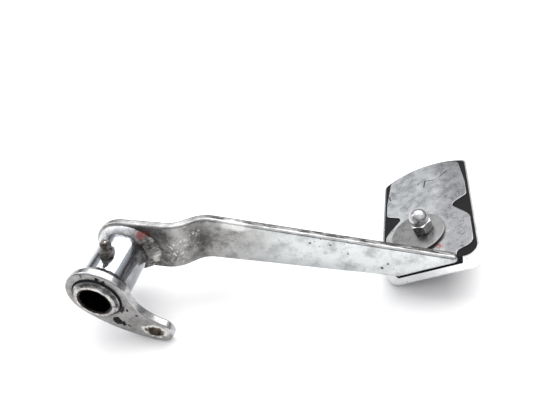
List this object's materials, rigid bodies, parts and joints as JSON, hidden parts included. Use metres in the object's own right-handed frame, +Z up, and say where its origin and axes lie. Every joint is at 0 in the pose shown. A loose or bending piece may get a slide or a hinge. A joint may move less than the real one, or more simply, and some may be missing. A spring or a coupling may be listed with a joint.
{
  "type": "foot brake pedal lever",
  "caption": "Flat cranked foot brake pedal lever with a greased pivot tube, a short actuating lever and a clocking rubber foot pad in a bright trim.",
  "frame": {"origin": "on the pivot axis, in the plane of the arm's inboard face", "axes": "+X along the arm to the foot pad, +Y along the pivot axis to the outboard side, +Z up with the pedal lying on a bench"},
  "size_m": [0.2463, 0.1734, 0.0607],
  "materials": {
    "arm_chrome": "worn chrome plating, dull and mottled",
    "tube_chrome": "bright chrome plating",
    "lever_chrome": "chrome plating, flaked near the bore and the clevis hole",
    "weld_chrome": "plated weld bead, grimy",
    "bushing_steel": "machined steel, greasy",
    "seal_rubber": "black rubber",
    "fitting_steel": "dark weathered steel",
    "ball_steel": "polished ball",
    "spring_steel": "spring wire",
    "plate_zinc": "grey zinc plating, scratched and spangled",
    "pad_rubber": "black moulded rubber",
    "trim_chrome": "bright chrome plating",
    "stud_steel": "zinc plated steel",
    "nut_chrome": "polished nut, tarnished at the corners"
  },
  "bodies": {
    "root": {"pedal_arm": "arm_chrome", "pivot_tube": "tube_chrome", "actuating_lever": "lever_chrome", "arm_weld": "weld_chrome", "lever_weld": "weld_chrome", "plate_weld": "weld_chrome", "inboard_bushing": "bushing_steel", "outboard_bushing": "bushing_steel", "inboard_dust_seal": "seal_rubber", "outboard_dust_seal": "seal_rubber", "grease_fitting": "fitting_steel", "grease_check_spring": "spring_steel", "pad_back_plate": "plate_zinc", "stud_doubler": "plate_zinc", "pad_rubber": "pad_rubber", "pad_trim": "trim_chrome", "pad_stud": "stud_steel", "pad_insert_plate": "stud_steel"},
    "nut_seat": {"lock_washer": "stud_steel"},
    "nut": {"acorn_nut": "nut_chrome"},
    "check_ball": {"grease_check_ball": "ball_steel"}
  },
  "joints": [
    {"name": "nut_lift", "type": "slide", "parent": "root", "child": "nut_seat", "axis": [-0.518, 0, 0.8554], "range_m": [0, 0.00106]},
    {"name": "nut_turn", "type": "hinge", "parent": "nut_seat", "child": "nut", "pos_m": [0.19157, 0.0511, 0.00285], "axis": [-0.518, 0, 0.8554], "range_deg": [0, 360]},
    {"name": "check_ball_travel", "type": "slide", "parent": "root", "child": "check_ball", "axis": [-0.0523, 0, -0.9986], "range_m": [0, 0.0008], "stiffness_N_per_m": 300, "springref_m": -0.003, "deforming": ["grease_check_spring"]}
  ],
  "couplings": [
    {"joint": "nut_turn", "follows": "nut_lift", "rad_per_m": 5938.7}
  ]
}
